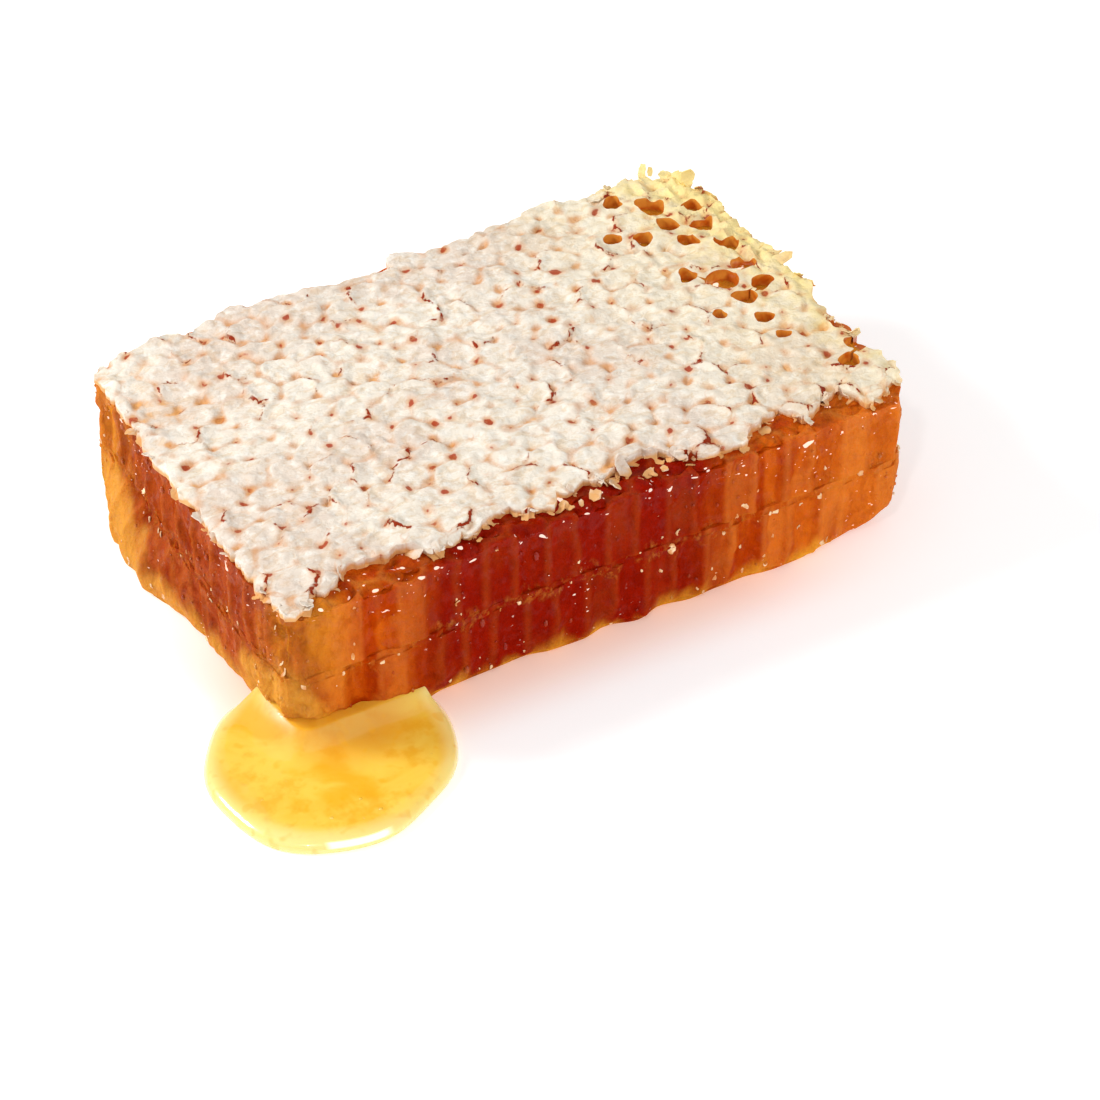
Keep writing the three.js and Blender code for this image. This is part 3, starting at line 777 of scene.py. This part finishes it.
# A closed body between two heights, from a ring of points carried up in steps
def ringBody(count, z0, z1, steps, shape):
    bm = bmesh.new()
    bmesh.ops.create_circle(bm, cap_ends=False, segments=count, radius=1)
    ring = list(bm.edges)
    for _ in range(steps):
        made = bmesh.ops.extrude_edge_only(bm, edges=ring)["geom"]
        fresh = [g for g in made if isinstance(g, bmesh.types.BMVert)]
        bmesh.ops.translate(bm, vec=(0, 0, 1), verts=fresh)
        ring = [g for g in made if isinstance(g, bmesh.types.BMEdge)]
    points = readPoints(bm)
    level = np.round(points[:, 2]).astype(int)
    turn = np.arctan2(points[:, 1], points[:, 0])
    index = np.round(turn / math.tau * count).astype(int) % count
    for k in range(steps + 1):
        here = level == k
        z = z0 + (z1 - z0) * k / steps
        points[here, :2] = shape(z)[index[here]]
        points[here, 2] = z
    writePoints(bm, points)
    for z in (z0, z1):
        loop = [e for e in bm.edges if e.is_boundary and abs(e.verts[0].co.z - z) < 1e-3]
        bmesh.ops.contextual_create(bm, geom=loop)
    bmesh.ops.recalc_face_normals(bm, faces=bm.faces)
    return bm


def tierShape(line, inwards, z, shift, z0, z1, onTable):
    share = (z - z0) / (z1 - z0)
    bulge = math.sin(math.pi * min(max(share, 0.03), 0.97))
    points = fluted(line, inwards, z, shift, tiers["fluteDepth"] * (0.7 + 0.3 * bulge))
    x, y = points[:, 0].copy(), points[:, 1].copy()
    inset = bulge * (0.45 * noise(x / 6, y / 6, z / 4) + 0.30 * noise(x / 2.8, y / 2.8, z / 3))
    fromCorner = np.exp(-((np.hypot(x + 48, y + 30) / 9) ** 2))
    crumpled = 0.13 + 0.30 * smoothStep(z, 17.5, 21) + 0.30 * fromCorner
    inset = inset + crumpled * bulge ** 0.5 * roughNoise(x / 1.5, y / 1.5, z / 1.5)
    if onTable:
        low = max(0, 1 - (z - z0) / foot["height"]) ** 2
        sag = max(0, 1 - share ** 2)
        inset = inset + footInset(x, y) * low - footFlare(x, y) * (sag - low)
    drawIn(points, inset)
    return points


def makeTier(name, upper, material, replaced):
    line, inwards = sideLine()
    z0, z1, shift = tierSpan(upper)
    steps = round((z1 - z0) / tiers["step"])
    bm = ringBody(len(line), z0, z1, steps, lambda z: tierShape(line, inwards, z, shift, z0, z1, not upper))
    return finishPiece(name, bm, material, replaced)


# Six-sided plugs with soft edges, which cut the open cells
def makePlugs(bm, cells):
    for cx, cy, radius, bottom in cells:
        top = tiers["upperTop"] + 1
        turn = Matrix.Rotation(comb["rowAngle"] + math.pi / 6, 4, "Z")
        made = bmesh.ops.create_cone(
            bm, cap_ends=True, segments=6, radius1=radius * 0.9, radius2=radius, depth=top - bottom,
            matrix=Matrix.Translation((cx, cy, (bottom + top) / 2)) @ turn,
        )
        edges = [e for v in made["verts"] for e in v.link_edges]
        upright = [e for e in edges if abs(e.verts[0].co.z - e.verts[1].co.z) > 0.5]
        base = [e for e in edges if max(e.verts[0].co.z, e.verts[1].co.z) < top - 0.1]
        bmesh.ops.bevel(
            bm, geom=list(set(upright + base)), offset=0.5, affect="EDGES", segments=3, profile=0.5,
            material=-1,
        )


# The cells along the front edge whose cappings are torn away
def tornCells():
    found = {}
    line = walk(comb["cutPlan"][:6], comb["pitch"] / 4)
    centre = cellField(line[:, 0], line[:, 1] + comb["pitch"] * 0.45)["centre"]
    for cx, cy in zip(*centre):
        under = insidePlan(cappings["plan"], np.array([cx]), np.array([cy - comb["pitch"] * 0.2]))[0]
        within = insidePlan(comb["cutPlan"], np.array([cx]), np.array([cy]))[0]
        if within and not under:
            found[round(float(cx), 2)] = (float(cx), float(cy))
    return list(found.values())


def openCellsIn(tier):
    bm = bmesh.new()
    cells = []
    for cx, cy, radius in cappings["openCells"]:
        toSide, _ = nearestOn(walk(comb["cutPlan"], 1.0), np.array([cx]), np.array([cy]))
        depth = tiers["openDepth"] if toSide[0] > radius + 1.8 else tiers["sideOpenDepth"]
        cells.append((cx, cy, radius + 0.6, tiers["upperTop"] - depth))
    for cx, cy in tornCells():
        depth = 0.45 + 0.3 * float(noise(cx / 3, cy / 3, 61))
        cells.append((cx, cy, comb["pitch"] * 0.53, tiers["upperTop"] - depth))
    makePlugs(bm, cells)
    bmesh.ops.scale(bm, vec=(mm, mm, mm), verts=bm.verts)
    mesh = bpy.data.meshes.new("plugs")
    bm.to_mesh(mesh)
    bm.free()
    plugs = bpy.data.objects.new("plugs", mesh)
    bpy.context.scene.collection.objects.link(plugs)
    cut = tier.modifiers.new("openCells", "BOOLEAN")
    cut.operation = "DIFFERENCE"
    cut.object = plugs
    cut.solver = "EXACT"
    cut.use_self = True
    bpy.context.view_layer.update()
    evaluated = tier.evaluated_get(bpy.context.evaluated_depsgraph_get())
    cutMesh = bpy.data.meshes.new_from_object(evaluated)
    tier.modifiers.clear()
    tier.data = cutMesh
    bpy.data.objects.remove(plugs)


def makeMidrib():
    line, inwards = sideLine()

    def shape(z):
        points = fluted(line, inwards, z, comb["lowerShift"] / 2, tiers["fluteDepth"] * 0.7)
        drawIn(points, 0.2 * roughNoise(points[:, 0] / 1.6, points[:, 1] / 1.6, z))
        return points

    bm = ringBody(len(line), tiers["lowerTop"], tiers["midribTop"], 4, shape)
    return finishPiece("midribWax", bm, lowerHoney, "midrib")


def makeUnderWax():
    line = walk(comb["cutPlan"], 0.8)
    drawIn(line, footInset(line[:, 0], line[:, 1]) + 1.1)
    bm = ringBody(len(line), 0.0, 1.0, 3, lambda z: line)
    return finishPiece("underWax", bm, lowerHoney, "lower_cappings")


pool = {
    "radius": 16.6,
    "centre": (-45.2, -33.2),
    "thickness": 1.9,
    "climb": 2.2,  # up the comb
    "combCorner": (-47, -29.5),
    "rim": [  # share of the radius and of the thickness
        (0.985, 0.0), (1.0, 0.16), (0.999, 0.35), (0.985, 0.6), (0.955, 0.82), (0.91, 0.95), (0.85, 1.0),
    ],
}


def makePool():
    bm = bmesh.new()
    bmesh.ops.create_circle(bm, cap_ends=False, segments=180, radius=pool["radius"] * pool["rim"][0][0])
    ring = list(bm.edges)
    radii = pool["rim"][1:] + [(r, 1.0) for r in np.linspace(0.82, 0.02, 42)]
    last = pool["rim"][0]
    for share, height in radii:
        made = bmesh.ops.extrude_edge_only(bm, edges=ring)["geom"]
        verts = [g for g in made if isinstance(g, bmesh.types.BMVert)]
        bmesh.ops.scale(bm, vec=(share / last[0], share / last[0], 1), verts=verts)
        bmesh.ops.translate(bm, vec=(0, 0, (height - last[1]) * pool["thickness"]), verts=verts)
        ring = [g for g in made if isinstance(g, bmesh.types.BMEdge)]
        last = (share, height)
    bmesh.ops.contextual_create(bm, geom=ring)
    bmesh.ops.contextual_create(bm, geom=[e for e in bm.edges if e.is_boundary])
    points = readPoints(bm)
    angle = np.arctan2(points[:, 1], points[:, 0])
    wander = 1 + 0.035 * np.sin(2 * angle + 0.6) + 0.03 * np.cos(3 * angle) + 0.012 * np.sin(7 * angle)
    points[:, 0] = points[:, 0] * wander + pool["centre"][0]
    points[:, 1] = points[:, 1] * wander + pool["centre"][1]
    awayX, awayY = pool["combCorner"][0] - points[:, 0], pool["combCorner"][1] - points[:, 1]
    beside = np.log(1 + np.exp(awayX / 1.2) + np.exp(awayY / 1.2)) * 1.2 - 1.2 * math.log(3)
    beside = np.maximum(0, beside)
    onTop = points[:, 2] > pool["thickness"] * 0.9
    points[onTop, 2] += pool["climb"] * np.exp(-beside[onTop] / 2.2)
    points[:, 2] += np.where(onTop, 0.05 * noise(points[:, 0] / 3, points[:, 1] / 3, 41), 0)
    points[:, 2] += 0.02
    writePoints(bm, points)
    bmesh.ops.recalc_face_normals(bm, faces=bm.faces)
    return finishPiece("runHoneyPool", bm, runHoney, "honey_pool")


# Bubbles that stand half out of the pool
def makeBubbles():
    rng = random.Random(57)
    bm = bmesh.new()
    for _ in range(34):
        angle, away = rng.uniform(0, math.tau), 13.5 * math.sqrt(rng.random())
        x, y = pool["centre"][0] + away * math.cos(angle), pool["centre"][1] + away * math.sin(angle)
        if x > -48 and y > -31:
            continue
        size = rng.uniform(0.12, 0.3) + 0.25 * rng.random() ** 4
        where = Matrix.Translation((x, y, pool["thickness"])) @ Matrix.Diagonal((1, 1, 0.5, 1))
        bmesh.ops.create_icosphere(bm, subdivisions=2, radius=size, matrix=where)
    return finishPiece("bubbles", bm, runHoney)


# Bent flakes of wax, each a thin closed sheet: place, way it points, size and how far it leans
def makeFlakes(name, material, spots, seed):
    rng = random.Random(seed)
    bm = bmesh.new()
    for x, y, z, facing, size, lean in spots:
        turn = Matrix.Rotation(facing, 4, "Z") @ Matrix.Rotation(lean, 4, "Y")
        turn = turn @ Matrix.Rotation(rng.uniform(-0.6, 0.6), 4, "X")
        where = Matrix.Translation((x, y, z)) @ turn
        made = bmesh.ops.create_grid(bm, x_segments=4, y_segments=4, size=0.5)
        curl = rng.uniform(-0.9, 0.9)
        wide = rng.uniform(0.45, 0.95)
        for v in made["verts"]:
            a, b = v.co.x, v.co.y
            rounding = 1 - 0.9 * (a * b) ** 2 * 4
            a = (a * rounding + rng.uniform(-0.09, 0.09)) * size
            b = (b * rounding + rng.uniform(-0.09, 0.09)) * size * wide
            bend = (curl * (a * a + 0.4 * b * b) / size) + rng.uniform(-0.05, 0.05) * size
            v.co = where @ Vector((a, b, bend))
    bmesh.ops.recalc_face_normals(bm, faces=bm.faces)
    bmesh.ops.solidify(bm, geom=list(bm.faces), thickness=0.14)
    bmesh.ops.recalc_face_normals(bm, faces=bm.faces)
    print(name, "open edges", sum(e.is_boundary for e in bm.edges))
    return finishPiece(name, bm, material)


flakes = {
    "front": (90, -1.57, 22.3),  # count, way they point and lowest height, for each torn edge
    "left": (22, 3.14, 22.8),
    "corner": (26, 0.9, 23.2),
    "right": (30, 0.0, 22.6),
    "highest": 23.9,
    "onLedge": 34,
    "wisps": [(48.6, 28.4, 2.6), (47.6, 29.4, 1.9), (43.9, 33.2, 2.2), (44.8, 32.6, 1.5)],
}


# Flakes along the torn edges, loose ones on the front ledge and wisps at the back right corner
def edgeFlakes():
    rng = random.Random(21)
    line = raggedLine()
    front = line[line[:, 1] < -22]
    left = line[line[:, 0] < -44]
    corner = line[(line[:, 0] > 34) & (line[:, 1] > 20)]
    right = line[line[:, 0] > 45]
    spots = []
    for name, group in (("front", front), ("left", left), ("corner", corner), ("right", right)):
        count, facing, lowest = flakes[name]
        for _ in range(count):
            x, y = group[rng.randrange(len(group))]
            size = rng.uniform(0.6, 1.3) + (rng.random() ** 3) * 2.0
            lean = rng.uniform(-0.5, 1.1)
            z = rng.uniform(lowest, flakes["highest"])
            spots.append((x, y, z, facing + rng.uniform(-0.9, 0.9), size, lean))
    for _ in range(flakes["onLedge"]):
        x = rng.uniform(-24, 34)
        size = rng.uniform(0.7, 1.5) + (rng.random() ** 3) * 1.2
        spots.append((x, rng.uniform(-28.2, -25.2), rng.uniform(22.6, 23.0), rng.uniform(0, 6), size, 0.15))
    for x, y, size in flakes["wisps"]:
        spots.append((x, y, 24.4, 0.9, size, -1.25))
    return spots


# The line of the cut, the way inwards and the places on it that carry crumbs and drops
def dressedSide():
    line, inwards = sideLine()
    return line, inwards, np.flatnonzero((line[:, 1] < -26) | (line[:, 0] < -44) | (line[:, 0] > 46))


def onSide(line, inwards, k, z, upper):
    z0, z1, shift = tierSpan(upper)
    return tierShape(line[k:k + 1], inwards[k:k + 1], z, shift, z0, z1, not upper)[0]


crumbs = {
    "bands": [(10.6, 14.2, 66, 1.4), (1.0, 3.2, 45, 1.3), (3.0, 22.0, 60, 0.8)],  # heights, count, largest
    "smallest": 0.35,
    "cornerFlakes": [(12.6, 2.0), (11.8, 1.8), (4.2, 1.4)],  # height and size, at the front right corner
}


# Crumbs of wax that cling to the cut sides, thickest along the midrib and the foot
def sideCrumbs():
    rng = random.Random(33)
    line, inwards, shown = dressedSide()
    spots = []
    for lowest, highest, count, largest in crumbs["bands"]:
        for _ in range(count):
            z = rng.uniform(lowest, highest)
            upper = z > tiers["midribTop"]
            z0, z1, _shift = tierSpan(upper)
            z = min(max(z, z0), z1)
            k = int(shown[rng.randrange(len(shown))])
            x, y = onSide(line, inwards, k, z, upper)
            facing = math.atan2(-inwards[k, 1], -inwards[k, 0])
            size = rng.uniform(crumbs["smallest"], largest)
            spots.append((x, y, z, facing, size, math.pi / 2 + rng.uniform(-0.7, 0.5)))
    for height, size in crumbs["cornerFlakes"]:
        spots.append((46.2, -28.2, height, -0.7, size, 0.1))
    return spots


# Small drops and bubbles of honey, half sunk in the cut sides
def makeDrops():
    rng = random.Random(45)
    line, inwards, shown = dressedSide()
    bm = bmesh.new()
    for _ in range(190):
        upper = rng.random() < 0.6
        z0, z1, _shift = tierSpan(upper)
        z = rng.uniform(z0 + 0.5, z1 - 0.2)
        k = int(shown[rng.randrange(len(shown))])
        x, y = onSide(line, inwards, k, z, upper)
        size = rng.uniform(0.10, 0.24) + 0.3 * rng.random() ** 6
        where = Matrix.Translation((x, y, z)) @ Matrix.Diagonal((1, 1, rng.uniform(0.9, 2.0), 1))
        bmesh.ops.create_icosphere(bm, subdivisions=2, radius=size, matrix=where)
    return finishPiece("honeyDrops", bm, wetHoney)


# Honey that stands in the open cells just under their mouths
def makeCellHoney():
    bm = bmesh.new()
    for cx, cy, radius in cappings["openCells"]:
        top = 22.2 + 0.2 * float(noise(cx / 2, cy / 2, 81))
        bmesh.ops.create_cone(
            bm, cap_ends=True, segments=24, radius1=radius + 0.62, radius2=radius + 0.62, depth=1.2,
            matrix=Matrix.Translation((cx, cy, top - 0.6)),
        )
    return finishPiece("cellHoney", bm, wetHoney)


# Honey heaped along the torn edge, over the cells that have lost their cappings
def makeLedgeHoney():
    bm = bmesh.new()
    rng = random.Random(63)
    for cx, cy in tornCells():
        for _ in range(3):
            x, y = cx + rng.uniform(-2.4, 2.4), min(max(cy + rng.uniform(-1.2, 1.8), -28.3), -24.5)
            where = Matrix.Translation((x, y, tiers["upperTop"] - 0.3))
            where = where @ Matrix.Diagonal((rng.uniform(0.8, 1.3), 0.8, rng.uniform(0.18, 0.42), 1))
            bmesh.ops.create_icosphere(bm, subdivisions=4, radius=rng.uniform(1.5, 2.4), matrix=where)
    points = readPoints(bm)
    x, y, z = points.T
    bumpy = 0.30 * roughNoise(x / 1.6, y / 1.6, z / 1.6)
    points[:, 2] += bumpy * (z > tiers["upperTop"] - 0.6)
    points[:, 1] += 0.3 * noise(x / 1.3, z / 0.9, 87)
    writePoints(bm, points)
    return finishPiece("ledgeHoney", bm, upperHoney)


print("comb")
makeCappings()
openCellsIn(makeTier("upperTier", True, upperHoney, "upper_cells"))
makeTier("lowerTier", False, lowerHoney, "lower_cells")
makeMidrib()
makeUnderWax()
makePool()
makeBubbles()
makeCellHoney()
makeLedgeHoney()
makeDrops()
makeFlakes("edgeFlakes", wax, edgeFlakes(), 5)
makeFlakes("sideCrumbs", crumbWax, sideCrumbs(), 6)


studio = {
    "cameraPlace": (-0.2113, -0.3622, 0.3267),
    "cameraTarget": (-0.0136, -0.0357, 0.0240),
    "lens": 124.4,
    "world": 0.52,
    "floor": (0.95, 0.95, 0.95),
    "paintedWarmLight": (0.85, 0.40, 0.20),
    "lights": [  # name, place in m, size in m and power in W
        ("keyLight", (-0.42, 0.30, 0.36), 0.20, 2.9),
        ("fillLight", (0.15, -0.60, 0.40), 0.35, 1.3),
        ("sparkleLeft", (-0.30, -0.34, 0.52), 0.035, 0.45),
        ("sparkleFront", (0.10, -0.62, 0.34), 0.035, 0.45),
    ],
}


def areaLight(name, place3d, size, power):
    data = bpy.data.lights.new(name, "AREA")
    data.shape = "DISK"
    data.size = size
    data.energy = power
    light = bpy.data.objects.new(name, data)
    light.location = place3d
    towards = Vector((0, 0, 0.01)) - Vector(place3d)
    light.rotation_euler = towards.to_track_quat("-Z", "Y").to_euler()
    bpy.context.scene.collection.objects.link(light)


def makeCamera(scene):
    data = bpy.data.cameras.new("camera")
    data.lens = studio["lens"]
    data.sensor_width = 36
    data.clip_start = 0.01
    camera = bpy.data.objects.new("camera", data)
    place3d, target = Vector(studio["cameraPlace"]), Vector(studio["cameraTarget"])
    camera.location = place3d
    camera.rotation_euler = (target - place3d).to_track_quat("-Z", "Y").to_euler()
    scene.collection.objects.link(camera)
    scene.camera = camera


def makeLight(scene):
    world = bpy.data.worlds.new("world")
    world.use_nodes = True
    world.node_tree.nodes["Background"].inputs["Color"].default_value = (1, 1, 1, 1)
    world.node_tree.nodes["Background"].inputs["Strength"].default_value = studio["world"]
    scene.world = world
    for light in studio["lights"]:
        areaLight(*light)
    scene.view_settings.view_transform = "Standard"
    scene.cycles.use_denoising = True


# A white table, with painted warm light where light comes through the honey onto it
def makeFloor(scene):
    bm = bmesh.new()
    bmesh.ops.create_grid(bm, x_segments=1, y_segments=1, size=2)
    mesh = bpy.data.meshes.new("floor")
    bm.to_mesh(mesh)
    bm.free()
    floor = bpy.data.objects.new("floor", mesh)
    material, tree, shader = newMaterial("floorPaint")
    x, y, _ = axes(tree, objectPoint(tree))
    outX = calc(tree, "MAXIMUM", minus(tree, calc(tree, "ABSOLUTE", x), 46.0), 0.0)
    outY = calc(tree, "MAXIMUM", minus(tree, calc(tree, "ABSOLUTE", y), 28.0), 0.0)
    away = vector(tree, "LENGTH", place(tree, "ShaderNodeCombineXYZ", {0: outX, 1: outY}))
    paintedWarmth = times(tree, grade(tree, away, 13.0, 0.0, 0, 0.55), grade(tree, y, 12.0, -20.0))
    paintedWarmth = times(tree, paintedWarmth, grade(tree, x, 42.0, 18.0, 0.1, 1.0))
    colour = blendColour(tree, paintedWarmth, studio["floor"], studio["paintedWarmLight"])
    feed(tree, shader, {
        "Base Color": colour, "Emission Color": colour, "Emission Strength": 0.28, "Roughness": 0.8,
    })
    mesh.materials.append(material)
    scene.collection.objects.link(floor)


print("studio")
makeCamera(bpy.context.scene)
makeLight(bpy.context.scene)
makeFloor(bpy.context.scene)
